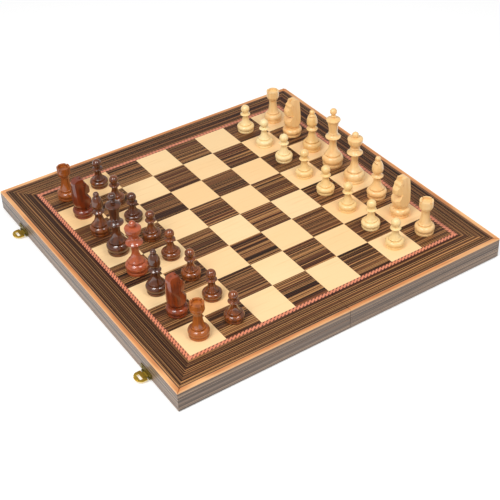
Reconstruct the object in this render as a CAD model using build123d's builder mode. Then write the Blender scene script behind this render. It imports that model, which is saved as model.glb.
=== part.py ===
# Folding chess box with its 32 chessmen, opened flat for play.
# Millimetres. X runs from the dark side to the light side, with the fold at x = 0.
# Y runs from front to back, and z = 0 is the plane of the box rims, which face down.

from build123d import *
import os

os.makedirs("parts", exist_ok=True)

# Playing field
square = 42.0
ranks = 8
stringing_width = 5.0
border_width = 25.0
edging_width = 7.0
veneer_thickness = 0.8

# Box halves
half_depth = 24.0
panel_thickness = 3.2
wall_thickness = 10.0
seam_wall_thickness = 8.0
seam_gap = 0.4
edging_bevel = 1.0
lining_thickness = 1.0
lining_margin = 0.5

# Butt hinges in the rims of the seam walls
hinge_place = 130.0
hinge_length = 30.0
hinge_leaf_width = 7.0
hinge_leaf_thickness = 0.8
hinge_leaf_recess = 0.15
barrel_radius = 1.25
hinge_pin_radius = 0.6
barrel_clearance = 0.3
knuckle_end_gap = 0.15
mortise_clearance = 0.1
hinge_screw_spread = 16.0

# Screws, and the play that a pin or a shank has in its hole
shank_radius = 0.8
head_radius = 1.5
round_head_height = 0.7
head_rounding = 0.5
hinge_screw_length = 6.0
clasp_screw_length = 5.0
pin_play = 0.05

# Swing clasps: plates and hasps on the dark end wall, catches on the light end wall
clasp_place = 144.0
clasp_plate_length = 22.0
clasp_plate_bottom = 2.4
clasp_plate_top = 8.8
clasp_plate_thickness = 0.8
clasp_corner = 1.5
clasp_screw_spread = 15.0
clasp_knuckle_radius = 1.1
clasp_knuckle_length = 4.0
clasp_pin_radius = 0.5
clasp_axis_height = 1.3
clasp_wall_gap = 0.1
hasp_knuckle_length = 8.0
hasp_width = 16.0
hasp_reach = 13.0
hasp_thickness = 0.7
hasp_lip_height = 1.3
hasp_slot_place = 7.3
hasp_slot_length = 8.4
hasp_slot_width = 3.0
hasp_round_start = 8.0
hasp_flare = 1.0
catch_plate_length = 18.0
catch_plate_height = 7.0
catch_stud_length = 7.4
catch_stud_height = 1.8
catch_stud_reach = 2.2
catch_stud_rounding = 0.7
catch_screw_spread = 13.0
catch_gap = 0.3

# Mouldings of every turned base: foot, bead and cushion as shares of its rise to the stem
foot_share = 0.24
bead_share = 0.11
cushion_share = 0.48
foot_step = 1.0
foot_round = 0.4
bead_round = 0.3
cushion_step = 0.6
cushion_round = 1.6
moulding_groove = 0.5
ring_round = 0.5

# Collars, the small rings above them and the crowns
collar_edge = 1.0
collar_round = 0.35
collar_swell = 0.5
collar_drop = 4.0
collar_hollow = 0.6
neck_ring_height = 1.6
neck_groove = 0.5

# Pawns
pawn_base = 10.7
pawn_rise = 11.2
pawn_ring = 7.4
pawn_stem = 6.4
pawn_stem_hollow = 1.0
pawn_waist = 3.5
pawn_waist_height = 22.4
pawn_collar = 5.8
pawn_collar_height = 24.2
pawn_collar_slope = 1.2
pawn_ball = 5.3
pawn_height = 36.0

# Rooks
rook_base = 11.3
rook_rise = 13.2
rook_ring = 7.7
rook_stem = 6.8
rook_stem_hollow = 0.7
rook_waist = 4.8
rook_waist_height = 28.0
rook_throat = 5.3
rook_throat_height = 30.2
rook_flare = 0.9
rook_turret = 7.7
rook_turret_foot = 36.6
rook_height = 42.4
rook_well_radius = 5.5
rook_well_depth = 2.4
rook_kerf_width = 1.5
rook_kerf_depth = 2.0

# Bishops
bishop_base = 11.4
bishop_rise = 13.6
bishop_ring = 8.6
bishop_stem = 7.8
bishop_stem_hollow = 0.9
bishop_waist = 4.1
bishop_waist_height = 25.4
bishop_collar = 6.6
bishop_collar_height = 29.2
bishop_collar_drop = 2.4
bishop_neck_height = 2.6
bishop_neck_hollow = 0.3
bishop_head = 6.5
bishop_head_foot = 32.2
bishop_head_height = 39.6
bishop_head_round = 1.0
bishop_mitre_round = 0.9
bishop_button = 3.3
bishop_button_seat = 2.0
bishop_height = 54.5
bishop_slit_width = 0.8
bishop_slit_depth = 3.6
bishop_slit_height = 43.5
bishop_slit_tilt = 40.0

# Queens
queen_base = 12.6
queen_rise = 15.6
queen_ring = 8.9
queen_stem = 8.3
queen_stem_hollow = 1.7
queen_waist = 4.2
queen_waist_height = 30.0
queen_collar = 9.0
queen_collar_height = 38.8
queen_neck_ring = 5.2
queen_neck_height = 45.0
queen_neck = 4.8
queen_crown = 8.7
queen_crown_foot = 47.2
queen_crown_height = 57.4
queen_crown_flare = 1.2
queen_crown_edge = 2.2
queen_dome_height = 1.6
queen_dome = 3.4
queen_ball = 4.0
queen_height = 65.6

# Kings
king_base = 12.7
king_rise = 16.5
king_ring = 9.4
king_stem = 8.6
king_stem_hollow = 1.5
king_waist = 4.4
king_waist_height = 31.5
king_collar = 8.9
king_collar_height = 39.4
king_neck_ring = 5.2
king_neck_height = 44.8
king_drum = 5.1
king_drum_top = 7.3
king_drum_hollow = 0.5
king_crown = 8.2
king_crown_foot = 60.4
king_crown_thickness = 2.2
king_dome_height = 1.8
king_neck = 2.4
king_bead = 3.1
king_bead_foot = 1.4
king_bead_height = 1.6
king_ball = 4.2
king_height = 76.6

# Knights: a carved head, cut from a turned barrel with planed sides, glued on a turned base.
# Points of the head's side outline are (forwards, height).
knight_base = 11.6
knight_rise = 12.5
knight_seat = 9.0
knight_foot = 7.7
knight_belly = 10.6
knight_belly_rise = 8.0
knight_belly_round = 0.9
knight_barrel_round = 0.5
knight_barrel_top = 8.8
knight_height = 49.5
knight_side_foot = 9.0
knight_crest_half = 4.6
knight_crown_back = (-9.5, 41.0)
knight_crown_mid = (-7.4, 47.2)
knight_crown_top = (-3.4, 49.5)
knight_ear_tip = (2.6, 49.2)
knight_ear_foot = (3.5, 44.8)
knight_brow = (6.2, 42.6)
knight_bridge = (6.6, 39.6)
knight_nose = (10.2, 35.8)
knight_lip = (10.9, 32.4)
knight_chin = (8.8, 29.6)
knight_throat = (3.9, 29.2)
knight_chest = (9.2, 23.0)
knight_nose_round = 0.5
knight_chest_hollow = 1.0
knight_ear_split = 2.6
knight_ear_depth = 3.2
knight_mouth_width = 0.8
knight_mouth_depth = 3.4
knight_eye_radius = 1.0
knight_eye_depth = 0.5
knight_eye = (2.2, 41.4)
knight_muzzle_half = 3.4
knight_cheek_half = 6.6
knight_cheek = 2.4

# Men on the squares of their back ranks, and the way each one was set down, in degrees
back_rank = ("rook", "knight", "bishop", "queen", "king", "bishop", "knight", "rook")
set_down = {
    "dark": (10, 0, 40, 0, 0, 75, 0, 35),
    "light": (-3, 180, 170, 0, 0, 238, 180, 5),
}
dark_men_shift = 2.0

# Worked out from the sizes above
grid_half = square * ranks / 2
stringing_edge = grid_half + stringing_width
border_edge = stringing_edge + border_width
outer_edge = border_edge + edging_width
seam = seam_gap / 2
veneer_bottom = half_depth - veneer_thickness
panel_bottom = veneer_bottom - panel_thickness
inner_end = outer_edge - wall_thickness
inner_seam = seam + seam_wall_thickness
barrel_room = barrel_radius + barrel_clearance
leaf_top = hinge_leaf_recess + hinge_leaf_thickness
hinge_screw_x = (barrel_room + hinge_leaf_width) / 2
head_depth = head_radius - shank_radius
clasp_axis_x = outer_edge + clasp_wall_gap + clasp_knuckle_radius
clasp_screw_height = (clasp_plate_bottom + clasp_plate_top) / 2
catch_height = hasp_slot_place - clasp_axis_height
hasp_face = clasp_axis_x - outer_edge - clasp_plate_thickness - catch_gap
hinge_places = (-hinge_place, hinge_place)
clasp_places = (-clasp_place, clasp_place)


def save(shape, name):
    """Names a finished piece and writes it to its own file."""
    shape.label = name
    export_step(shape, f"parts/{name}.step")


def flat_piece(corners, bottom, height):
    """A board with a straight-sided outline and its underside at a height."""
    with BuildPart() as piece:
        with BuildSketch(Plane.XY.offset(bottom)):
            with BuildLine():
                Polyline(*corners, close=True)
            make_face()
        extrude(amount=height)
    return piece.part


def mitred_corners(side, inner, outer):
    """Outlines of the front, end and back strips of one half, mitred at its outer corners."""
    front = [(side * seam, -outer), (side * outer, -outer), (side * inner, -inner), (side * seam, -inner)]
    end = [(side * outer, -outer), (side * outer, outer), (side * inner, inner), (side * inner, -inner)]
    back = [(x, -y) for x, y in front]
    return front, end, back


def drill(places, radius, depth):
    """Cuts round holes into the part being built, from each plane against its normal."""
    for place in places:
        with BuildSketch(place) as hole:
            Circle(radius)
        extrude(hole.sketch, amount=-depth, mode=Mode.SUBTRACT)


def sink(places):
    """Cuts the cones that the countersunk heads lie in."""
    for place in places:
        with BuildSketch(place) as mouth:
            Circle(head_radius + pin_play)
        extrude(mouth.sketch, amount=-head_depth, taper=45, mode=Mode.SUBTRACT)


def screw_place(x, y, z, towards):
    """A plane on the face that a screw head stands on, looking out of the face."""
    return Plane(origin=(x, y, z), x_dir=(0, 1, 0), z_dir=towards)


def hinge_screw_places(side):
    return [
        screw_place(side * hinge_screw_x, y + offset, hinge_leaf_recess, (0, 0, -1))
        for y in hinge_places
        for offset in (-hinge_screw_spread / 2, hinge_screw_spread / 2)
    ]


def end_screw_places(side, spread, height):
    return [
        screw_place(side * (outer_edge + clasp_plate_thickness), y + offset, height, (side, 0, 0))
        for y in clasp_places
        for offset in (-spread / 2, spread / 2)
    ]


def countersunk_screw(place, length):
    """A flush wood screw whose head lies in the plane and whose shank runs into the wood."""
    with BuildPart() as screw:
        with BuildSketch(place):
            Circle(head_radius)
        extrude(amount=-head_depth, taper=45)
        with BuildSketch(place):
            Circle(shank_radius)
        extrude(amount=-length)
    return screw.part


def round_screw(place, length):
    """A wood screw with a low domed head that stands on the plane."""
    with BuildPart() as screw:
        with BuildSketch(place):
            Circle(head_radius)
        extrude(amount=round_head_height)
        crown = screw.faces().sort_by(Axis(place.origin, place.z_dir))[-1]
        fillet(crown.edges(), radius=head_rounding)
        with BuildSketch(place):
            Circle(shank_radius)
        extrude(amount=-length)
    return screw.part


# Box halves

for side, half in ((-1, "left"), (1, "right")):
    hinge_screws = hinge_screw_places(side)
    clasp_spread = clasp_screw_spread if side < 0 else catch_screw_spread
    clasp_height = clasp_screw_height if side < 0 else catch_height
    clasp_screws = end_screw_places(side, clasp_spread, clasp_height)

    # Outer walls with mitred corners, as deep as the panel's underside
    front, end, back = mitred_corners(side, inner_end, outer_edge)
    side_walls = [flat_piece(corners, 0, panel_bottom) for corners in (front, back)]
    save(Compound(children=side_walls), f"side_walls_{half}")
    with BuildPart() as end_wall:
        add(flat_piece(end, 0, panel_bottom))
        drill(clasp_screws, shank_radius + pin_play, clasp_screw_length + pin_play)
    save(end_wall.part, f"end_wall_{half}")

    # Seam wall between the side walls, let in for the hinge leaves and their barrels
    with BuildPart() as seam_wall:
        with BuildSketch():
            with Locations((side * (seam + inner_seam) / 2, 0)):
                Rectangle(seam_wall_thickness, 2 * inner_end)
        extrude(amount=panel_bottom)
        for y in hinge_places:
            with BuildSketch(Plane(origin=(0, y, 0), x_dir=(1, 0, 0), z_dir=(0, -1, 0))):
                Circle(barrel_room)
                with Locations((side * hinge_leaf_width / 2, leaf_top / 2)):
                    Rectangle(hinge_leaf_width + 2 * mortise_clearance, leaf_top)
            extrude(amount=hinge_length / 2 + mortise_clearance, both=True, mode=Mode.SUBTRACT)
        drill(hinge_screws, shank_radius + pin_play, hinge_screw_length + pin_play)
    save(seam_wall.part, f"seam_wall_{half}")

    # Top panel that carries the veneers, and the edging that closes its three outer edges
    panel = [
        (side * seam, -border_edge),
        (side * border_edge, -border_edge),
        (side * border_edge, border_edge),
        (side * seam, border_edge),
    ]
    save(flat_piece(panel, panel_bottom, panel_thickness), f"top_panel_{half}")
    edging = []
    for corners in mitred_corners(side, border_edge, outer_edge):
        with BuildPart() as strip:
            add(flat_piece(corners, panel_bottom, half_depth - panel_bottom))
            top = strip.faces().sort_by(Axis.Z)[-1]
            chamfer(top.edges().sort_by(lambda edge: edge.center().length)[-1], length=edging_bevel)
        edging.append(strip.part)
    save(Compound(children=edging), f"edging_{half}")

    # Veneered playing face: mitred border, mitred stringing and the squares
    for name, inner, outer in (
        ("border_veneer", stringing_edge, border_edge),
        ("stringing", grid_half, stringing_edge),
    ):
        strips = [
            flat_piece(corners, veneer_bottom, veneer_thickness)
            for corners in mitred_corners(side, inner, outer)
        ]
        save(Compound(children=strips), f"{name}_{half}")
    squares = {"light": [], "dark": []}
    for file in range(ranks // 2):
        near = max(file * square, seam)
        far = (file + 1) * square
        for rank in range(ranks):
            low = rank * square - grid_half
            corners = [
                (side * near, low),
                (side * far, low),
                (side * far, low + square),
                (side * near, low + square),
            ]
            wood = "dark" if (file + rank + (side < 0)) % 2 else "light"
            squares[wood].append(flat_piece(corners, veneer_bottom, veneer_thickness))
    for wood, tiles in squares.items():
        save(Compound(children=tiles), f"{wood}_squares_{half}")

    # Felt glued under the panel inside the tray
    lining = [
        (side * (inner_seam + lining_margin), lining_margin - inner_end),
        (side * (inner_end - lining_margin), lining_margin - inner_end),
        (side * (inner_end - lining_margin), inner_end - lining_margin),
        (side * (inner_seam + lining_margin), inner_end - lining_margin),
    ]
    save(flat_piece(lining, panel_bottom - lining_thickness, lining_thickness), f"lining_{half}")

    # Hinge leaves: the left pair carries two knuckles and the pin, the right pair one knuckle
    leaves = []
    knuckle = hinge_length / 3
    for y in hinge_places:
        knuckles = (-1, 1) if side < 0 else (0,)
        across = Plane(origin=(0, y, 0), x_dir=(1, 0, 0), z_dir=(0, -1, 0))
        with BuildPart() as leaf:
            with BuildSketch(Plane.XY.offset(hinge_leaf_recess)):
                with Locations((side * (barrel_room + hinge_leaf_width) / 2, y)):
                    Rectangle(hinge_leaf_width - barrel_room, hinge_length)
            extrude(amount=hinge_leaf_thickness)
            for place in knuckles:
                with BuildSketch(across.offset(-place * knuckle)):
                    Circle(barrel_radius)
                    with Locations((side * hinge_leaf_width / 4, (hinge_leaf_recess + leaf_top) / 2)):
                        Rectangle(hinge_leaf_width / 2, hinge_leaf_thickness)
                extrude(amount=knuckle / 2 - knuckle_end_gap / 2, both=True)
            if side > 0:
                with BuildSketch(across):
                    Circle(hinge_pin_radius + pin_play)
                extrude(amount=knuckle, both=True, mode=Mode.SUBTRACT)
            else:
                with BuildSketch(across):
                    Circle(hinge_pin_radius)
                extrude(amount=knuckle, both=True)
            screws_here = [p for p in hinge_screws if abs(p.origin.Y - y) < hinge_length]
            sink(screws_here)
            drill(screws_here, shank_radius + pin_play, hinge_leaf_thickness)
        leaves.append(leaf.part)
    save(Compound(children=leaves), f"hinge_leaves_{half}")

    # Screws of this half
    screws = [countersunk_screw(place, hinge_screw_length) for place in hinge_screws]
    if side < 0:
        screws += [round_screw(place, clasp_screw_length) for place in clasp_screws]
    else:
        screws += [countersunk_screw(place, clasp_screw_length) for place in clasp_screws]
    save(Compound(children=screws), f"screws_{half}")


# Clasps

plate_screws = end_screw_places(-1, clasp_screw_spread, clasp_screw_height)
catch_screws = end_screw_places(1, catch_screw_spread, catch_height)
plates = []
catches = []
for y, name in zip(clasp_places, ("hasp_front", "hasp_back")):
    wall = Plane(origin=(-outer_edge, y, 0), x_dir=(0, -1, 0), z_dir=(-1, 0, 0))
    across = Plane(origin=(-clasp_axis_x, y, clasp_axis_height), x_dir=(1, 0, 0), z_dir=(0, -1, 0))
    knuckle_place = hasp_knuckle_length / 2 + knuckle_end_gap + clasp_knuckle_length / 2

    # Plate with two knuckles rolled from its lower edge round the fixed pin
    with BuildPart() as plate:
        with BuildSketch(wall):
            with Locations((0, clasp_screw_height)):
                RectangleRounded(clasp_plate_length, clasp_plate_top - clasp_plate_bottom, clasp_corner)
            with Locations((-knuckle_place, clasp_screw_height / 2), (knuckle_place, clasp_screw_height / 2)):
                Rectangle(clasp_knuckle_length, clasp_screw_height - clasp_axis_height)
        extrude(amount=clasp_plate_thickness)
        with BuildSketch(across):
            Circle(clasp_pin_radius)
        extrude(amount=knuckle_place, both=True)
        for place in (-knuckle_place, knuckle_place):
            with BuildSketch(across.offset(place)):
                Circle(clasp_knuckle_radius)
            extrude(amount=clasp_knuckle_length / 2, both=True)
        here = [p for p in plate_screws if abs(p.origin.Y - y) < clasp_plate_length]
        drill(here, shank_radius + pin_play, clasp_plate_thickness)
    plates.append(plate.part)

    # Hasp: one knuckle, a slotted tongue with a round end and a turned-up finger lip
    tongue = Plane(
        origin=(-clasp_axis_x, y, clasp_axis_height + hasp_face), x_dir=(-1, 0, 0), z_dir=(0, 0, 1)
    )
    shoulder = clasp_knuckle_radius + catch_gap
    with BuildPart() as hasp:
        with BuildSketch(tongue):
            with BuildLine():
                Polyline(
                    (hasp_round_start, hasp_width / 2),
                    (shoulder + hasp_flare, hasp_width / 2),
                    (shoulder, hasp_knuckle_length / 2),
                    (0, hasp_knuckle_length / 2),
                    (0, -hasp_knuckle_length / 2),
                    (shoulder, -hasp_knuckle_length / 2),
                    (shoulder + hasp_flare, -hasp_width / 2),
                    (hasp_round_start, -hasp_width / 2),
                )
                ThreePointArc(
                    (hasp_round_start, -hasp_width / 2), (hasp_reach, 0), (hasp_round_start, hasp_width / 2)
                )
            make_face()
            with Locations((hasp_slot_place, 0)):
                Rectangle(hasp_slot_width, hasp_slot_length, mode=Mode.SUBTRACT)
        extrude(amount=hasp_thickness)
        with BuildSketch(across):
            Circle(clasp_knuckle_radius)
        extrude(amount=hasp_knuckle_length / 2, both=True)
        with BuildSketch(across):
            Circle(clasp_pin_radius + pin_play)
        extrude(amount=hasp_knuckle_length, both=True, mode=Mode.SUBTRACT)
        with BuildSketch(tongue):
            with Locations((hasp_reach - hasp_lip_height / 2 - hasp_thickness, 0)):
                Rectangle(hasp_thickness, hasp_knuckle_length)
        extrude(amount=hasp_thickness + hasp_lip_height)
    save(hasp.part, name)

    # Catch on the light end wall, with the stud that the hasp's slot snaps over
    catch_wall = Plane(origin=(outer_edge, y, catch_height), x_dir=(0, 1, 0), z_dir=(1, 0, 0))
    with BuildPart() as catch:
        with BuildSketch(catch_wall):
            RectangleRounded(catch_plate_length, catch_plate_height, clasp_corner)
        extrude(amount=clasp_plate_thickness)
        with BuildSketch(catch_wall):
            Rectangle(catch_stud_length, catch_stud_height)
        extrude(amount=clasp_plate_thickness + catch_stud_reach)
        tip = catch.faces().sort_by(Axis.X)[-1]
        fillet(tip.edges().filter_by(Axis.Y), radius=catch_stud_rounding)
        here = [p for p in catch_screws if abs(p.origin.Y - y) < catch_plate_length]
        sink(here)
        drill(here, shank_radius + pin_play, clasp_plate_thickness)
    catches.append(catch.part)
save(Compound(children=plates), "clasp_plates")
save(Compound(children=catches), "catch_plates")


# Chessmen. Each kind is made once, standing at the origin and facing along +X.

def base_outline(base, ring, rise):
    """Foot, bead, cushion and ring of a turned base, as steps of radius, height and bulge."""
    foot_top = rise * foot_share
    bead_top = foot_top + rise * bead_share
    cushion_top = bead_top + rise * cushion_share
    return [
        (base - foot_step, 0, 0),
        (base - foot_step, foot_top, foot_round),
        (base - foot_step - moulding_groove, foot_top, 0),
        (base - foot_step, bead_top, bead_round),
        (base - cushion_step, bead_top, 0),
        (ring + moulding_groove, cushion_top, cushion_round),
        (ring - moulding_groove, cushion_top, 0),
        (ring - moulding_groove, rise, ring_round),
    ]


def collar_outline(collar, height):
    """The rounded rim of a collar, up to its top edge."""
    return [(collar, height - collar_edge, collar_swell), (collar, height, collar_round)]


def neck_ring_outline(ring, height):
    """The hollow slope above a collar and the small rounded ring that it runs up to."""
    return [(ring, height - neck_ring_height, -collar_hollow), (ring, height, neck_groove)]


def turned(outline):
    """A solid turned about the upright axis from steps of radius, height and outward bulge."""
    with BuildPart() as man:
        with BuildSketch(Plane.XZ):
            with BuildLine():
                at = (0, 0)
                for radius, height, bulge in outline:
                    if bulge:
                        SagittaArc(at, (radius, height), -bulge)
                    else:
                        Line(at, (radius, height))
                    at = (radius, height)
                Line(at, (0, 0))
            make_face()
        revolve(axis=Axis.Z)
    return man.part


def with_ball(man, radius, top):
    """Adds the round finial whose crown is the man's full height."""
    with BuildPart() as crowned:
        add(man)
        with Locations((0, 0, top - radius)):
            Sphere(radius)
    return crowned.part


def pawn():
    outline = base_outline(pawn_base, pawn_ring, pawn_rise) + [
        (pawn_stem, pawn_rise, 0),
        (pawn_waist, pawn_waist_height, -pawn_stem_hollow),
        (pawn_collar, pawn_collar_height - collar_edge, 0),
        (pawn_collar, pawn_collar_height, collar_round),
        (pawn_waist, pawn_collar_height + pawn_collar_slope, 0),
        (pawn_waist, pawn_height - pawn_ball, 0),
        (0, pawn_height - pawn_ball, 0),
    ]
    return [with_ball(turned(outline), pawn_ball, pawn_height)]


def rook():
    """A round tower with a sunk top and four saw cuts through its rim."""
    outline = base_outline(rook_base, rook_ring, rook_rise) + [
        (rook_stem, rook_rise, 0),
        (rook_waist, rook_waist_height, -rook_stem_hollow),
        (rook_throat, rook_throat_height, 0),
        (rook_turret, rook_turret_foot, rook_flare),
        (rook_turret, rook_height, 0),
        (rook_well_radius, rook_height, 0),
        (rook_well_radius, rook_height - rook_well_depth, 0),
        (0, rook_height - rook_well_depth, 0),
    ]
    with BuildPart() as man:
        add(turned(outline))
        with BuildSketch(Plane.XY.offset(rook_height)):
            Rectangle(2 * rook_base, rook_kerf_width)
            Rectangle(rook_kerf_width, 2 * rook_base)
        extrude(amount=-rook_kerf_depth, mode=Mode.SUBTRACT)
    return [man.part]


def bishop():
    """A mitre with one slanting saw cut that runs down and in from its front."""
    button_foot = bishop_height - bishop_button - bishop_button_seat
    outline = base_outline(bishop_base, bishop_ring, bishop_rise) + [
        (bishop_stem, bishop_rise, 0),
        (bishop_waist, bishop_waist_height, -bishop_stem_hollow),
        (bishop_waist, bishop_collar_height - bishop_collar_drop, 0),
        *collar_outline(bishop_collar, bishop_collar_height),
        (bishop_waist, bishop_collar_height + bishop_neck_height, -bishop_neck_hollow),
        (bishop_waist, bishop_head_foot, 0),
        (bishop_head, bishop_head_height, bishop_head_round),
        (bishop_button - moulding_groove, button_foot, bishop_mitre_round),
        (0, button_foot, 0),
    ]
    cut = Plane(origin=(0, 0, bishop_slit_height)).rotated((0, -bishop_slit_tilt, 0))
    with BuildPart() as man:
        add(with_ball(turned(outline), bishop_button, bishop_height))
        with BuildSketch(cut):
            with Locations((2 * bishop_head - bishop_slit_depth, 0)):
                Rectangle(2 * bishop_head, 3 * bishop_head)
        extrude(amount=bishop_slit_width / 2, both=True, mode=Mode.SUBTRACT)
    return [man.part]


def queen():
    outline = base_outline(queen_base, queen_ring, queen_rise) + [
        (queen_stem, queen_rise, 0),
        (queen_waist, queen_waist_height, -queen_stem_hollow),
        (queen_waist, queen_collar_height - collar_drop, 0),
        *collar_outline(queen_collar, queen_collar_height),
        *neck_ring_outline(queen_neck_ring, queen_neck_height),
        (queen_neck, queen_neck_height, 0),
        (queen_neck, queen_crown_foot, 0),
        (queen_crown, queen_crown_height - queen_crown_edge, queen_crown_flare),
        (queen_crown, queen_crown_height, collar_round),
        (queen_dome, queen_crown_height + queen_dome_height, collar_round),
        (queen_dome, queen_height - queen_ball, 0),
        (0, queen_height - queen_ball, 0),
    ]
    return [with_ball(turned(outline), queen_ball, queen_height)]


def king():
    crown_top = king_crown_foot + king_crown_thickness
    bead_foot = crown_top + king_dome_height + king_bead_foot
    outline = base_outline(king_base, king_ring, king_rise) + [
        (king_stem, king_rise, 0),
        (king_waist, king_waist_height, -king_stem_hollow),
        (king_waist, king_collar_height - collar_drop, 0),
        *collar_outline(king_collar, king_collar_height),
        *neck_ring_outline(king_neck_ring, king_neck_height),
        (king_drum, king_neck_height, 0),
        (king_drum_top, king_crown_foot, -king_drum_hollow),
        (king_crown, king_crown_foot, 0),
        (king_crown, crown_top, collar_round),
        (king_neck, crown_top + king_dome_height, collar_round),
        (king_neck, bead_foot, 0),
        (king_neck, bead_foot + king_bead_height, king_bead - king_neck),
        (king_neck, king_height - king_ball, 0),
        (0, king_height - king_ball, 0),
    ]
    return [with_ball(turned(outline), king_ball, king_height)]


def knight():
    """A carved head glued on a turned base. The muzzle points along +X."""
    outline = base_outline(knight_base, knight_seat, knight_rise)[:-1] + [
        (knight_seat - moulding_groove, knight_rise, 0),
        (0, knight_rise, 0),
    ]
    barrel = [
        (knight_foot, 0, 0),
        (knight_foot, knight_rise, 0),
        (knight_belly, knight_rise + knight_belly_rise, knight_belly_round),
        (knight_barrel_top, knight_height, knight_barrel_round),
        (0, knight_height, 0),
    ]
    eye_half = knight_crest_half + (knight_side_foot - knight_crest_half) * (
        (knight_height - knight_eye[1]) / (knight_height - knight_rise)
    )
    with BuildPart() as head:
        with BuildSketch(Plane.XZ):
            with BuildLine():
                Polyline((-knight_belly, knight_rise), (-knight_belly, knight_crown_back[1]), knight_crown_back)
                ThreePointArc(knight_crown_back, knight_crown_mid, knight_crown_top)
                Polyline(knight_crown_top, knight_ear_tip, knight_ear_foot, knight_brow, knight_bridge, knight_nose)
                SagittaArc(knight_nose, knight_lip, knight_nose_round)
                Polyline(knight_lip, knight_chin, knight_throat)
                SagittaArc(knight_throat, knight_chest, -knight_chest_hollow)
                Polyline(
                    knight_chest,
                    (knight_belly, knight_rise + knight_belly_rise),
                    (knight_belly, knight_rise),
                    (-knight_belly, knight_rise),
                )
            make_face()
        extrude(amount=knight_belly, both=True)

        # Planed sides, closer together towards the crest
        with BuildSketch(Plane.YZ):
            with BuildLine():
                Polyline(
                    (-knight_side_foot, knight_rise),
                    (knight_side_foot, knight_rise),
                    (knight_crest_half, knight_height),
                    (-knight_crest_half, knight_height),
                    close=True,
                )
            make_face()
        extrude(amount=2 * knight_belly, both=True, mode=Mode.INTERSECT)
        add(turned(barrel), mode=Mode.INTERSECT)

        # Cheeks cut away towards the muzzle
        for cheek in (-1, 1):
            with BuildSketch(Plane.XY.offset(knight_throat[1])):
                with BuildLine():
                    Polyline(
                        (knight_cheek, cheek * knight_cheek_half),
                        (knight_lip[0], cheek * knight_muzzle_half),
                        (2 * knight_belly, cheek * knight_muzzle_half),
                        (2 * knight_belly, cheek * 2 * knight_belly),
                        (knight_cheek, cheek * 2 * knight_belly),
                        close=True,
                    )
                make_face()
            extrude(amount=knight_height - knight_throat[1], mode=Mode.SUBTRACT)

        # Notch between the ears, saw cut of the mouth and eye sockets
        with BuildSketch(Plane.YZ):
            with BuildLine():
                Polyline(
                    (-knight_ear_split / 2, knight_height),
                    (knight_ear_split / 2, knight_height),
                    (0, knight_height - knight_ear_depth),
                    close=True,
                )
            make_face()
        extrude(amount=knight_belly, mode=Mode.SUBTRACT)
        with BuildSketch(Plane.XZ):
            with Locations((knight_lip[0], (knight_lip[1] + knight_chin[1]) / 2)):
                Rectangle(2 * knight_mouth_depth, knight_mouth_width)
        extrude(amount=knight_belly, both=True, mode=Mode.SUBTRACT)
        for cheek in (-1, 1):
            with BuildSketch(Plane.XZ.offset(-cheek * eye_half)):
                with Locations(knight_eye):
                    Circle(knight_eye_radius)
            extrude(amount=knight_eye_depth, both=True, mode=Mode.SUBTRACT)
    return [turned(outline), head.part]


men = {"pawn": pawn(), "rook": rook(), "knight": knight(), "bishop": bishop(), "queen": queen(), "king": king()}
for colour, side in (("dark", -1), ("light", 1)):
    for rank, kind in enumerate(back_rank):
        y = (rank + 0.5 - len(back_rank) / 2) * square
        end_name = "" if kind in ("queen", "king") else ("_front" if y < 0 else "_back")
        shift = dark_men_shift if side < 0 else 0
        for man, name, file in (
            (kind, f"{colour}_{kind}{end_name}", 0.5),
            ("pawn", f"{colour}_pawn_{rank + 1}", 1.5),
        ):
            x = side * (grid_half - file * square) + shift
            turn = set_down[colour][rank] if file < 1 else 0
            pieces = [piece.moved(Location((x, y, half_depth), (0, 0, turn))) for piece in men[man]]
            save(pieces[0] if len(pieces) == 1 else Compound(children=pieces), name)
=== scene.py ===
import math

import bpy
from mathutils import Matrix

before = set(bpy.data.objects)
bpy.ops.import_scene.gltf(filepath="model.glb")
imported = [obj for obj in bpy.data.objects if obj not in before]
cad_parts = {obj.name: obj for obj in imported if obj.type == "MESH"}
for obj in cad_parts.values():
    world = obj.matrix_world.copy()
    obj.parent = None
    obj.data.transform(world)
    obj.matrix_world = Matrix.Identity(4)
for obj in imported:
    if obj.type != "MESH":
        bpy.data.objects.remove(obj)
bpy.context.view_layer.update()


# The photograph's view: a long lens from the front left corner, about 38 degrees above
# the board. The camera comes first so that everything after it is judged through it.

camera_place = (-0.5440, -0.8794, 0.7742)
camera_heading = -32.279
camera_tip = 52.188
camera_roll = -2.170
camera_lens = 80.86
camera_film_width = 36
camera_near_limit = 0.05

camera_data = bpy.data.cameras.new("camera")
camera_data.lens = camera_lens
camera_data.sensor_fit = "HORIZONTAL"
camera_data.sensor_width = camera_film_width
camera_data.clip_start = camera_near_limit
camera = bpy.data.objects.new("camera", camera_data)
camera.matrix_world = (
    Matrix.Translation(camera_place)
    @ Matrix.Rotation(math.radians(camera_heading), 4, "Z")
    @ Matrix.Rotation(math.radians(camera_tip), 4, "X")
    @ Matrix.Rotation(math.radians(camera_roll), 4, "Z")
)
bpy.context.collection.objects.link(camera)
bpy.context.scene.camera = camera
bpy.context.scene.view_settings.view_transform = "Standard"


# Side walls, end walls and seam walls: grey-brown boards with long level stripes, glued up
# into two shallow trays with mitred corners. Each tray's boards come from one plank.


def linear(red, green, blue):
    """A colour as a light meter sees it, from the 0 to 255 values of a screen."""
    levels = []
    for value in (red, green, blue):
        step = value / 255
        levels.append(step / 12.92 if step <= 0.04045 else ((step + 0.055) / 1.055) ** 2.4)
    return (*levels, 1.0)


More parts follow.
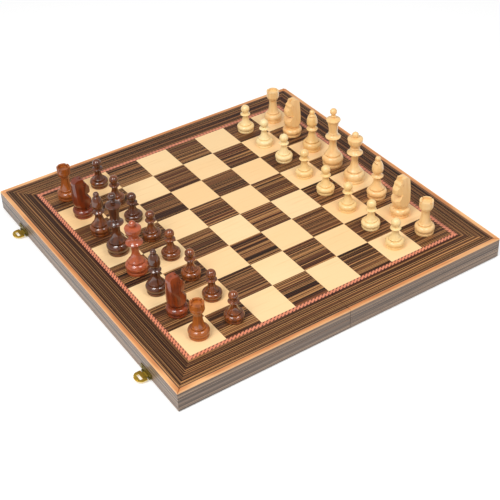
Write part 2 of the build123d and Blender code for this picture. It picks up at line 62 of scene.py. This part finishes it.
wall_ground = linear(122, 102, 86)
wall_dark = linear(76, 60, 48)
wall_line = linear(176, 146, 118)
wall_red = linear(144, 108, 80)
wall_stripes = 420.0
wall_wood = {
    "Stripes": wall_stripes,
    "Ground": wall_ground,
    "Dark": wall_dark,
    "Line": wall_line,
    "Red": wall_red,
}
wall_relief = (0.25, 0.0002)
wall_gloss = {"roughness": 0.42, "coat": 0.25, "coat_roughness": 0.25}
plank_place = {"left": (0.0, 0.03, 0.0), "right": (0.7, 0.41, 0.3)}
end_cut = (0.2, 0.11)


def new_group(name, inputs, outputs):
    """An empty shader node group with named sockets."""
    group = bpy.data.node_groups.new(name, "ShaderNodeTree")
    for way, sockets in (("INPUT", inputs), ("OUTPUT", outputs)):
        for socket, kind in sockets:
            group.interface.new_socket(socket, in_out=way, socket_type=f"NodeSocket{kind}")
    return group, group.nodes.new("NodeGroupInput"), group.nodes.new("NodeGroupOutput")


def add_node(tree, kind, values=(), **settings):
    """A node with its settings, and its sockets either linked or set."""
    made = tree.nodes.new(f"ShaderNode{kind}")
    for key, value in settings.items():
        setattr(made, key, value)
    for socket, value in dict(values).items():
        if isinstance(value, bpy.types.NodeSocket):
            tree.links.new(value, made.inputs[socket])
        else:
            made.inputs[socket].default_value = value
    return made


def use_group(tree, group, values):
    """A node group placed in a tree with its own values."""
    return add_node(tree, "Group", values, node_tree=group)


def sum_of(tree, operation, *numbers):
    """The result of one sum on one to three numbers."""
    return add_node(tree, "Math", dict(enumerate(numbers)), operation=operation).outputs[0]


def axes_of(tree, vector):
    """The three coordinates of a vector, one by one."""
    return add_node(tree, "SeparateXYZ", {0: vector}).outputs


def vector_of(tree, *axes):
    """A vector put together from its three coordinates."""
    return add_node(tree, "CombineXYZ", dict(enumerate(axes))).outputs[0]


def colour_mix(tree, share, first, second):
    """Two colours mixed by a share from 0 to 1."""
    return add_node(tree, "Mix", {0: share, 6: first, 7: second}, data_type="RGBA").outputs[2]


def placed(tree, vector, stretch=(1.0, 1.0, 1.0), shift=(0.0, 0.0, 0.0)):
    """Coordinates stretched along each axis and then moved."""
    settings = {"Vector": vector, "Scale": stretch, "Location": shift}
    return add_node(tree, "Mapping", settings).outputs[0]


def noise(tree, vector, stretch, detail, roughness=0.5, shift=(0.0, 0.0, 0.0)):
    """Smooth random values from 0 to 1. The larger the stretch along an axis, the finer
    the pattern lies across it, and the smaller, the further it runs on."""
    spread = placed(tree, vector, stretch, shift)
    settings = {"Vector": spread, "Scale": 1.0, "Detail": detail, "Roughness": roughness}
    return add_node(tree, "TexNoise", settings).outputs["Fac"]


def band(tree, value, start, end):
    """Goes smoothly from 0 to 1 as the value goes from start to end."""
    settings = {"Value": value, "From Min": start, "From Max": end}
    return add_node(tree, "MapRange", settings, interpolation_type="SMOOTHSTEP").outputs[0]


# Striped wood: the grain runs along the first axis and the stripes lie across the second.
# Wide dark bands come first, and finer and finer lines over them.
wander_pattern = ((9, 30, 30), 2.0)
wander_reach = 0.0022
stripe_drift = 1.2
wide_pattern = ((0.45, 0.45, 0.45), 1.5)
fine_pattern = ((1.0, 1.9, 1.0), 2.0, 0.6, (3.1, 7.7, 0.0))
hair_pattern = ((1.6, 4.2, 1.0), 2.0, 0.6, (8.3, 1.9, 0.0))
wide_edge = (0.42, 0.58)
fine_pale_edge = (0.52, 0.60)
fine_dark_edge = (0.46, 0.39)
hair_red_edge = (0.57, 0.66)
hair_dark_edge = (0.42, 0.34)
hair_height = 0.6

striped, given, result = new_group(
    "striped_wood",
    [
        ("Vector", "Vector"),
        ("Stripes", "Float"),
        ("Ground", "Color"),
        ("Dark", "Color"),
        ("Line", "Color"),
        ("Red", "Color"),
    ],
    [("Color", "Color"), ("Height", "Float")],
)
along, across, deep = axes_of(striped, given.outputs["Vector"])[:3]
wander = noise(striped, given.outputs["Vector"], *wander_pattern)
across = sum_of(striped, "MULTIPLY_ADD", wander, wander_reach, across)
stripes = vector_of(
    striped,
    sum_of(striped, "MULTIPLY", along, stripe_drift),
    sum_of(striped, "MULTIPLY", across, given.outputs["Stripes"]),
    deep,
)
wide = noise(striped, stripes, *wide_pattern)
fine = noise(striped, stripes, *fine_pattern)
hair = noise(striped, stripes, *hair_pattern)
tone = given.outputs["Dark"]
for stripe, edge, colour in (
    (wide, wide_edge, "Ground"),
    (fine, fine_pale_edge, "Line"),
    (fine, fine_dark_edge, "Dark"),
    (hair, hair_red_edge, "Red"),
    (hair, hair_dark_edge, "Dark"),
):
    tone = colour_mix(striped, band(striped, stripe, *edge), tone, given.outputs[colour])
height = sum_of(striped, "MULTIPLY_ADD", hair, hair_height, fine)
striped.links.new(tone, result.inputs["Color"])
striped.links.new(height, result.inputs["Height"])


def new_material(name):
    """A material with one plain shader, and the piece's own coordinates in metres."""
    material = bpy.data.materials.new(name)
    material.use_nodes = True
    tree = material.node_tree
    shader = tree.nodes["Principled BSDF"]
    place = tree.nodes.new("ShaderNodeTexCoord").outputs["Object"]
    return material, tree, shader, place


def bump(tree, shader, height, strength, depth):
    """Small relief of the surface, from a height that changes over it."""
    relief = add_node(tree, "Bump", {"Strength": strength, "Distance": depth, "Height": height})
    tree.links.new(relief.outputs[0], shader.inputs["Normal"])


def gloss(shader, roughness, sheen=0.5, coat=0.0, coat_roughness=0.1, coat_density=1.5):
    """How a surface shines: its own roughness and sheen, and the clear coat over it."""
    shader.inputs["Roughness"].default_value = roughness
    shader.inputs["Specular IOR Level"].default_value = sheen
    shader.inputs["Coat Weight"].default_value = coat
    shader.inputs["Coat Roughness"].default_value = coat_roughness
    shader.inputs["Coat IOR"].default_value = coat_density


def apply_finish(piece, material):
    """Puts one material on the whole of a CAD piece."""
    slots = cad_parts[piece].data.materials
    slots.clear()
    slots.append(material)


def wall_material(name, order, shift):
    """Striped board with level grain. The order gives the axes along, up and through it."""
    material, tree, shader, place = new_material(name)
    axes = axes_of(tree, place)
    board_place = placed(tree, vector_of(tree, *(axes[axis] for axis in order)), shift=shift)
    board = use_group(tree, striped, {"Vector": board_place, **wall_wood})
    tree.links.new(board.outputs["Color"], shader.inputs["Base Color"])
    bump(tree, shader, board.outputs["Height"], *wall_relief)
    gloss(shader, **wall_gloss)
    return material


for half, (first, second, third) in plank_place.items():
    end_place = (first + end_cut[0], second + end_cut[1], 0.0)
    side_wall = wall_material(f"side_wall_{half}_wood", (0, 2, 1), (first, second, third))
    end_wall = wall_material(f"end_wall_{half}_wood", (1, 2, 0), end_place)
    apply_finish(f"side_walls_{half}", side_wall)
    apply_finish(f"end_wall_{half}", end_wall)
    apply_finish(f"seam_wall_{half}", end_wall)


# Top panels: thin plywood sheets under the veneer, glued on the walls. Only their edges
# along the fold and their undersides in the trays could show.

ply_pale = linear(206, 172, 128)
ply_glue = linear(150, 112, 74)
ply_pair = 0.0016
ply_joint = (0.0007, 0.0009)
ply_grain = ((12, 160, 60), 4.0)
ply_grain_edge = (0.35, 0.7)
ply_relief = (0.2, 0.0002)
ply_roughness = 0.6

plywood, tree, shader, place = new_material("plywood")
layer = sum_of(tree, "WRAP", axes_of(tree, place)[2], ply_pair, 0.0)
grain = noise(tree, place, *ply_grain)
sheet = colour_mix(tree, band(tree, grain, *ply_grain_edge), ply_pale, ply_glue)
sheet = colour_mix(tree, band(tree, layer, *ply_joint), sheet, ply_glue)
tree.links.new(sheet, shader.inputs["Base Color"])
bump(tree, shader, grain, *ply_relief)
gloss(shader, ply_roughness)
for half in ("left", "right"):
    apply_finish(f"top_panel_{half}", plywood)


# Edging: solid orange-brown hardwood strips round the three outer edges of each half, mitred
# at the corners and chamfered. The striped facing of the walls runs up over their sides, and
# the border veneer laps onto the inner part of their tops.

edging_ground = linear(230, 156, 96)
edging_dark = linear(190, 118, 68)
edging_pale = linear(250, 192, 132)
edging_grain = ((14, 420, 420), 5.0, 0.6)
edging_grain_edge = (0.3, 0.75)
edging_cloud = ((9, 40, 40), 2.0)
edging_cloud_edge = (0.5, 0.75)
# Where the chamfered outer arris is painted paler, as a painted highlight
arris_highlight_band = (0.2034, 0.2046)
arris_highlight_share = 0.65
facing_top = (0.0224, 0.0228)
veneer_lap = (0.2002, 0.2004)
edging_relief = (0.2, 0.0001)
edging_roughness = 0.4

veneer_ground = linear(98, 62, 38)
veneer_dark = linear(30, 16, 10)
veneer_line = linear(196, 142, 88)
veneer_red = linear(134, 70, 42)
veneer_stripes = 470.0
veneer_wood = {
    "Stripes": veneer_stripes,
    "Ground": veneer_ground,
    "Dark": veneer_dark,
    "Line": veneer_line,
    "Red": veneer_red,
}

# Mitred strips round the board: swaps the axes in those that run from front to back, so that
# the grain follows every strip, and tells which strips they are
mitred, given, result = new_group(
    "mitred_grain", [("Vector", "Vector")], [("Vector", "Vector"), ("End Strip", "Float")]
)
first, second, third = axes_of(mitred, given.outputs["Vector"])[:3]
end_strip = sum_of(
    mitred, "GREATER_THAN", sum_of(mitred, "ABSOLUTE", first), sum_of(mitred, "ABSOLUTE", second)
)
swapped = vector_of(mitred, second, first, third)
followed = add_node(
    mitred, "Mix", {0: end_strip, 4: given.outputs["Vector"], 5: swapped}, data_type="VECTOR"
)
mitred.links.new(followed.outputs[1], result.inputs["Vector"])
mitred.links.new(end_strip, result.inputs["End Strip"])

edging, tree, shader, place = new_material("edging_wood")
strip_place = use_group(tree, mitred, {"Vector": place}).outputs["Vector"]
along, across, height = axes_of(tree, strip_place)[:3]
across = sum_of(tree, "ABSOLUTE", across)
grain = noise(tree, strip_place, *edging_grain)
cloud = noise(tree, strip_place, *edging_cloud)
strip = colour_mix(tree, band(tree, grain, *edging_grain_edge), edging_dark, edging_ground)
strip = colour_mix(tree, band(tree, cloud, *edging_cloud_edge), strip, edging_pale)
# Painted highlight: the outer arris of the chamfer is painted paler, as if it caught the light
arris_highlight = sum_of(tree, "MULTIPLY", band(tree, across, *arris_highlight_band), arris_highlight_share)
strip = colour_mix(tree, arris_highlight, strip, edging_pale)
facing_place = placed(tree, vector_of(tree, along, height, 0.0), shift=plank_place["left"])
facing = use_group(tree, striped, {"Vector": facing_place, **wall_wood})
strip = colour_mix(tree, band(tree, height, *facing_top), facing.outputs["Color"], strip)
lap = use_group(tree, striped, {"Vector": strip_place, **veneer_wood})
strip = colour_mix(tree, band(tree, across, *veneer_lap), lap.outputs["Color"], strip)
tree.links.new(strip, shader.inputs["Base Color"])
bump(tree, shader, grain, *edging_relief)
gloss(shader, edging_roughness)
for half in ("left", "right"):
    apply_finish(f"edging_{half}", edging)


# Border veneer: dark striped veneer in mitred strips, with the stripes along each edge,
# sanded flush and rubbed with a thin matt varnish. The strips across the ends are darker.

end_strip_shade = {"left": 0.42, "right": 0.16}
veneer_relief = (0.15, 0.0001)
veneer_gloss = {"roughness": 0.42, "sheen": 0.22}


def varnish_veneer(tree, shader, colour, height):
    """Dark veneer under its matt varnish."""
    tree.links.new(colour, shader.inputs["Base Color"])
    bump(tree, shader, height, *veneer_relief)
    gloss(shader, **veneer_gloss)


for half, shade in end_strip_shade.items():
    border, tree, shader, place = new_material(f"dark_veneer_border_{half}")
    strips = use_group(tree, mitred, {"Vector": place})
    leaf = use_group(tree, striped, {"Vector": strips.outputs["Vector"], **veneer_wood})
    share = sum_of(tree, "MULTIPLY", strips.outputs["End Strip"], shade)
    colour = colour_mix(tree, share, leaf.outputs["Color"], veneer_dark)
    varnish_veneer(tree, shader, colour, leaf.outputs["Height"])
    apply_finish(f"border_veneer_{half}", border)


# Stringing: a bought ribbon of pink and dark wood, slanted like twisted rope, laid between
# the border and the squares and mitred at the corners.

rope_pink = linear(218, 126, 92)
rope_pale = linear(236, 150, 112)
rope_dark = linear(84, 34, 22)
rope_inner = 0.168
rope_width = 0.005
rope_pitch = 0.0046
rope_slant = 1.1
rope_grain = ((300, 600, 1), 3.0)
dash_start = (0.04, 0.14)
dash_end = (0.58, 0.48)
dash_middle_gap = (0.06, 0.18)
dash_share = 0.9
ribbon_edge = (0.44, 0.49)
ribbon_edge_share = 0.5
rope_relief = (0.1, 0.0001)
rope_gloss = {"roughness": 0.38, "coat": 0.3, "coat_roughness": 0.2}

stringing, tree, shader, place = new_material("stringing_ribbon")
ribbon_place = use_group(tree, mitred, {"Vector": place}).outputs["Vector"]
along, across = axes_of(tree, ribbon_place)[:2]
across = sum_of(tree, "SUBTRACT", sum_of(tree, "ABSOLUTE", across), rope_inner)
from_middle = sum_of(tree, "SUBTRACT", sum_of(tree, "DIVIDE", across, rope_width), 0.5)
from_middle = sum_of(tree, "ABSOLUTE", from_middle)
leaning = sum_of(tree, "MULTIPLY_ADD", across, rope_slant, along)
turn = sum_of(tree, "WRAP", sum_of(tree, "DIVIDE", leaning, rope_pitch), 1.0, 0.0)
dash = sum_of(tree, "MULTIPLY", band(tree, turn, *dash_start), band(tree, turn, *dash_end))
dash = sum_of(tree, "MULTIPLY", dash, band(tree, from_middle, *dash_middle_gap))
edge = band(tree, from_middle, *ribbon_edge)
shade = noise(tree, ribbon_place, *rope_grain)
ribbon = colour_mix(tree, shade, rope_pink, rope_pale)
ribbon = colour_mix(tree, sum_of(tree, "MULTIPLY", dash, dash_share), ribbon, rope_dark)
ribbon = colour_mix(tree, sum_of(tree, "MULTIPLY", edge, ribbon_edge_share), ribbon, rope_dark)
tree.links.new(ribbon, shader.inputs["Base Color"])
bump(tree, shader, shade, *rope_relief)
gloss(shader, **rope_gloss)
for half in ("left", "right"):
    apply_finish(f"stringing_{half}", stringing)


# Dark squares: the border's striped veneer, sawn and laid so that the stripes all run from
# side to side. Every square shows another part of the veneer, and some are plainer.

square = 0.042
dark_square_move = 1.7
plainness = (0.0, 1.4)
plain_share = 0.35


def vector_sum(tree, operation, *vectors):
    """The result of one sum on one or two vectors."""
    return add_node(tree, "VectorMath", dict(enumerate(vectors)), operation=operation).outputs[0]


# Moves the pattern by a new amount in each square, so that neighbours never match
per_square, given, result = new_group(
    "square_by_square",
    [("Vector", "Vector"), ("Size", "Float"), ("Move", "Float")],
    [("Vector", "Vector"), ("Shade", "Float")],
)
size = vector_of(per_square, given.outputs["Size"], given.outputs["Size"], 1.0)
cell = vector_sum(per_square, "DIVIDE", given.outputs["Vector"], size)
cell = vector_sum(per_square, "FLOOR", cell)
cell = vector_sum(per_square, "MULTIPLY", cell, (1.0, 1.0, 0.0))
draw = add_node(per_square, "TexWhiteNoise", {"Vector": cell}, noise_dimensions="3D")
move = add_node(
    per_square,
    "VectorMath",
    {0: draw.outputs["Color"], "Scale": given.outputs["Move"]},
    operation="SCALE",
)
moved = vector_sum(per_square, "ADD", given.outputs["Vector"], move.outputs[0])
per_square.links.new(moved, result.inputs["Vector"])
per_square.links.new(draw.outputs["Value"], result.inputs["Shade"])

dark_square, tree, shader, place = new_material("dark_veneer_squares")
cut = use_group(tree, per_square, {"Vector": place, "Size": square, "Move": dark_square_move})
leaf = use_group(tree, striped, {"Vector": cut.outputs["Vector"], **veneer_wood})
plain = sum_of(tree, "MULTIPLY", band(tree, cut.outputs["Shade"], *plainness), plain_share)
colour = colour_mix(tree, plain, leaf.outputs["Color"], veneer_ground)
varnish_veneer(tree, shader, colour, leaf.outputs["Height"])
for half in ("left", "right"):
    apply_finish(f"dark_squares_{half}", dark_square)


# Light squares: pale maple veneer, plain and close-grained, sawn in strips with the dark
# veneer, so its grain runs the same way.

maple_pale = linear(254, 219, 166)
maple_warm = linear(252, 208, 150)
maple_line = linear(240, 194, 136)
light_square_move = 1.3
maple_grain = ((16, 380, 1), 4.0, 0.6)
maple_line_edge = (0.52, 0.75)
maple_line_share = 0.5
maple_cloud = ((10, 30, 1), 2.0)
maple_cloud_edge = (0.4, 0.7)
maple_cloud_share = 0.4
maple_relief = (0.08, 0.0001)
maple_gloss = {"roughness": 0.45, "sheen": 0.3}

light_square, tree, shader, place = new_material("light_veneer_squares")
cut = use_group(tree, per_square, {"Vector": place, "Size": square, "Move": light_square_move})
grain = noise(tree, cut.outputs["Vector"], *maple_grain)
cloud = noise(tree, cut.outputs["Vector"], *maple_cloud)
warm = sum_of(tree, "MULTIPLY", band(tree, cloud, *maple_cloud_edge), maple_cloud_share)
lines = sum_of(tree, "MULTIPLY", band(tree, grain, *maple_line_edge), maple_line_share)
leaf = colour_mix(tree, cut.outputs["Shade"], maple_pale, maple_warm)
leaf = colour_mix(tree, warm, leaf, maple_warm)
leaf = colour_mix(tree, lines, leaf, maple_line)
tree.links.new(leaf, shader.inputs["Base Color"])
bump(tree, shader, grain, *maple_relief)
gloss(shader, **maple_gloss)
for half in ("left", "right"):
    apply_finish(f"light_squares_{half}", light_square)


# Lining: a sheet of felt glued under the panel in each tray, where the men lie when the
# box is folded.

felt_green = linear(44, 84, 58)
felt_pale = linear(66, 110, 80)
felt_fibres = ((2600.0, 2600.0, 2600.0), 4.0, 0.7)
felt_patches = ((40.0, 40.0, 40.0), 3.0)
fibre_share = 0.5
patch_share = 0.4
felt_relief = (0.6, 0.0004)
felt_roughness = 0.95
felt_fuzz = 0.4

felt, tree, shader, place = new_material("felt")
fibres = noise(tree, place, *felt_fibres)
patches = noise(tree, place, *felt_patches)
share = sum_of(tree, "MULTIPLY", fibres, fibre_share)
share = sum_of(tree, "MULTIPLY_ADD", patches, patch_share, share)
tree.links.new(colour_mix(tree, share, felt_green, felt_pale), shader.inputs["Base Color"])
bump(tree, shader, fibres, *felt_relief)
gloss(shader, felt_roughness)
shader.inputs["Sheen Weight"].default_value = felt_fuzz
for half in ("left", "right"):
    apply_finish(f"lining_{half}", felt)


# Hinges, clasps and screws: thin pressed brass, let in at the fold and screwed to the end
# walls. The plates, screws and hinge leaves get a dull olive brass, which is painted shade,
# and the hasps a bright yellow brass, which is a painted highlight.

# The bright yellow is a painted highlight for the hasps, and the dull olive is painted shade for
# the plates, screws and hinge leaves. The tarnish colour is the brass's own.
brass_painted_lit = linear(236, 200, 84)
brass_painted_shade = linear(128, 116, 62)
brass_tarnish = linear(84, 78, 46)
tarnish_pattern = ((380.0, 380.0, 380.0), 5.0, 0.65)
tarnish_edge = (0.48, 0.78)
tarnish_share = 0.7
tarnish_roughness = 0.25
rub_marks = ((900, 120, 900), 3.0)
brass_relief = (0.15, 0.00005)
hasp_roughness = 0.2
plate_roughness = 0.28


def brass_material(name, colour, roughness):
    """Brass with cloudy tarnish, which is rougher than the clean metal, and rub marks."""
    material, tree, shader, place = new_material(name)
    cloud = noise(tree, place, *tarnish_pattern)
    rubbed = noise(tree, place, *rub_marks)
    tarnish = sum_of(tree, "MULTIPLY", band(tree, cloud, *tarnish_edge), tarnish_share)
    tree.links.new(colour_mix(tree, tarnish, colour, brass_tarnish), shader.inputs["Base Color"])
    dulled = sum_of(tree, "MULTIPLY_ADD", cloud, tarnish_roughness, roughness)
    tree.links.new(dulled, shader.inputs["Roughness"])
    bump(tree, shader, rubbed, *brass_relief)
    shader.inputs["Metallic"].default_value = 1.0
    return material


# Painted light: a lit copy of the brass for the hasps, and a shaded copy for the rest
painted_lit_brass = brass_material("hasp_brass", brass_painted_lit, hasp_roughness)
painted_shade_brass = brass_material("plate_brass", brass_painted_shade, plate_roughness)
for piece in ("hasp_front", "hasp_back"):
    apply_finish(piece, painted_lit_brass)
for piece in ("clasp_plates", "catch_plates"):
    apply_finish(piece, painted_shade_brass)
for half in ("left", "right"):
    apply_finish(f"screws_{half}", painted_shade_brass)
    apply_finish(f"hinge_leaves_{half}", painted_shade_brass)


# Light men: turned boxwood with a thin satin varnish. Each was cut from its own blank, so
# some are creamier and some more honey-coloured.

boxwood = (linear(254, 218, 158), linear(250, 202, 134), linear(232, 170, 98))
honey = (linear(250, 208, 138), linear(244, 192, 116), linear(222, 160, 88))
pale = (linear(255, 230, 172), linear(252, 214, 146), linear(236, 186, 114))
boxwood_strength = 0.35
honey_strength = 0.4
pale_strength = 0.3
satin_varnish = {"roughness": 0.34, "coat": 0.5, "coat_roughness": 0.22}
turned_relief = (0.12, 0.0001)
ranks = range(1, 9)

# Turned wood: upright grain, broad growth figure and a little more colour in some of it
blank_pattern = ((14, 14, 3), 1.0)
growth_pattern = ((193.8, 193.8, 22), 3.0, 0.55)
warp_pattern = ((40, 40, 14), 2.0)
pore_pattern = ((1500, 1500, 90), 2.0)
blank_edge = (0.38, 0.62)
growth_edge = (0.42, 0.66)
warp_edge = (0.5, 0.72)
warp_share = 0.35
pore_height = 0.4

turned_wood, given, result = new_group(
    "turned_wood",
    [
        ("Vector", "Vector"),
        ("Ground", "Color"),
        ("Figure", "Color"),
        ("Deep", "Color"),
        ("Strength", "Float"),
    ],
    [("Color", "Color"), ("Height", "Float")],
)
blank = noise(turned_wood, given.outputs["Vector"], *blank_pattern)
growth = noise(turned_wood, given.outputs["Vector"], *growth_pattern)
warp = noise(turned_wood, given.outputs["Vector"], *warp_pattern)
pores = noise(turned_wood, given.outputs["Vector"], *pore_pattern)
figured = band(turned_wood, blank, *blank_edge)
deeper = band(turned_wood, growth, *growth_edge)
deeper = sum_of(turned_wood, "MULTIPLY", deeper, given.outputs["Strength"])
warped = sum_of(turned_wood, "MULTIPLY", band(turned_wood, warp, *warp_edge), warp_share)
tone = given.outputs["Ground"]
for share, colour in ((figured, "Figure"), (deeper, "Deep"), (warped, "Figure")):
    tone = colour_mix(turned_wood, share, tone, given.outputs[colour])
height = sum_of(turned_wood, "MULTIPLY_ADD", pores, pore_height, growth)
turned_wood.links.new(tone, result.inputs["Color"])
turned_wood.links.new(height, result.inputs["Height"])


def man_material(name, colours, strength, **varnish):
    """Turned wood from its ground, figure and deep colours, under a varnish or lacquer."""
    material, tree, shader, place = new_material(name)
    ground, figure, deep = colours
    wood = use_group(
        tree,
        turned_wood,
        {"Vector": place, "Ground": ground, "Figure": figure, "Deep": deep, "Strength": strength},
    )
    tree.links.new(wood.outputs["Color"], shader.inputs["Base Color"])
    bump(tree, shader, wood.outputs["Height"], *turned_relief)
    gloss(shader, **varnish)
    return material


light_back = man_material("boxwood", boxwood, boxwood_strength, **satin_varnish)
light_honey = man_material("honey_boxwood", honey, honey_strength, **satin_varnish)
light_pawn = man_material("pale_boxwood", pale, pale_strength, **satin_varnish)

for end in ("front", "back"):
    apply_finish(f"light_rook_{end}", light_back)
    apply_finish(f"light_knight_{end}", light_back)
apply_finish("light_bishop_front", light_back)
apply_finish("light_bishop_back", light_honey)
apply_finish("light_king", light_back)
apply_finish("light_queen", light_back)
for rank in ranks:
    apply_finish(f"light_pawn_{rank}", light_pawn)


# Dark men: the same turnings in brown hardwood under thick glossy lacquer. The queen and
# the knights came out redder, and the rooks lighter and more orange.

walnut = (linear(146, 72, 14), linear(92, 42, 8), linear(40, 17, 3))
orange = (linear(184, 100, 30), linear(158, 80, 22), linear(104, 48, 14))
russet = (linear(158, 66, 16), linear(122, 46, 12), linear(62, 22, 6))
red = (linear(196, 98, 50), linear(176, 80, 40), linear(128, 52, 26))
brown_strength = 0.6
red_strength = 0.5
lacquer = {"roughness": 0.38, "sheen": 0.15, "coat_density": 1.8}
back_coat = {"coat": 0.85, "coat_roughness": 0.06}
rook_coat = {"coat": 0.7, "coat_roughness": 0.09}
knight_coat = {"coat": 0.75, "coat_roughness": 0.09}
queen_coat = {"coat": 0.85, "coat_roughness": 0.07}

dark_back = man_material("dark_lacquered_wood", walnut, brown_strength, **lacquer, **back_coat)
dark_rook = man_material("orange_lacquered_wood", orange, brown_strength, **lacquer, **rook_coat)
dark_knight = man_material(
    "russet_lacquered_wood", russet, brown_strength, **lacquer, **knight_coat
)
dark_queen = man_material("red_lacquered_wood", red, red_strength, **lacquer, **queen_coat)

for end in ("front", "back"):
    apply_finish(f"dark_rook_{end}", dark_rook)
    apply_finish(f"dark_knight_{end}", dark_knight)
    apply_finish(f"dark_bishop_{end}", dark_back)
apply_finish("dark_king", dark_back)
apply_finish("dark_queen", dark_queen)
for rank in ranks:
    apply_finish(f"dark_pawn_{rank}", dark_back)


# Floor and lamps: a plain white sweep under the box, a large soft lamp at the left side and
# two smaller ones overhead, whose shapes show on the lacquer.

floor_height = -0.0014
floor_reach = 6.0
floor_white = (0.86, 0.86, 0.86, 1.0)
floor_roughness = 0.9
floor_lift = 0.32
pure_white = (1.0, 1.0, 1.0, 1.0)
world_level = 0.46
side_lamp = ((-1.35, -0.55, 1.35), 7.8, (0.9, 0.7))
left_overhead_lamp = ((-0.66, -0.20, 1.25), 6.4, (0.5, 0.36))
right_overhead_lamp = ((0.16, -0.70, 1.2), 5.1, (0.45, 0.3))

corners = ((-1, -1), (1, -1), (1, 1), (-1, 1))
floor_mesh = bpy.data.meshes.new("floor")
floor_mesh.from_pydata(
    [(x * floor_reach, y * floor_reach, floor_height) for x, y in corners], [], [(0, 1, 2, 3)]
)
floor = bpy.data.objects.new("floor", floor_mesh)
bpy.context.collection.objects.link(floor)


def seen_directly(tree):
    """1 for what the camera, a reflection or a clear piece sees, and 0 for lighting."""
    path = tree.nodes.new("ShaderNodeLightPath").outputs
    seen = sum_of(tree, "MAXIMUM", path["Is Camera Ray"], path["Is Glossy Ray"])
    return sum_of(tree, "MAXIMUM", seen, path["Is Transmission Ray"])


paper, tree, shader, _ = new_material("white_floor")
shader.inputs["Base Color"].default_value = floor_white
gloss(shader, floor_roughness, sheen=0.0)
shader.inputs["Emission Color"].default_value = pure_white
lift = sum_of(tree, "MULTIPLY", seen_directly(tree), floor_lift)
tree.links.new(lift, shader.inputs["Emission Strength"])
floor_mesh.materials.append(paper)

world = bpy.data.worlds.new("studio")
bpy.context.scene.world = world
world.use_nodes = True
background = world.node_tree.nodes["Background"]
background.inputs["Color"].default_value = pure_white
background.inputs["Strength"].default_value = world_level


def hang_lamp(name, place, power, spread):
    """A soft rectangular lamp turned towards the middle of the board."""
    data = bpy.data.lights.new(name, "AREA")
    data.energy = power
    data.shape = "RECTANGLE"
    data.size, data.size_y = spread
    made = bpy.data.objects.new(name, data)
    made.location = place
    made.rotation_euler = (-made.location).to_track_quat("-Z", "Y").to_euler()
    bpy.context.collection.objects.link(made)


hang_lamp("side_lamp", *side_lamp)
hang_lamp("left_overhead_lamp", *left_overhead_lamp)
hang_lamp("right_overhead_lamp", *right_overhead_lamp)
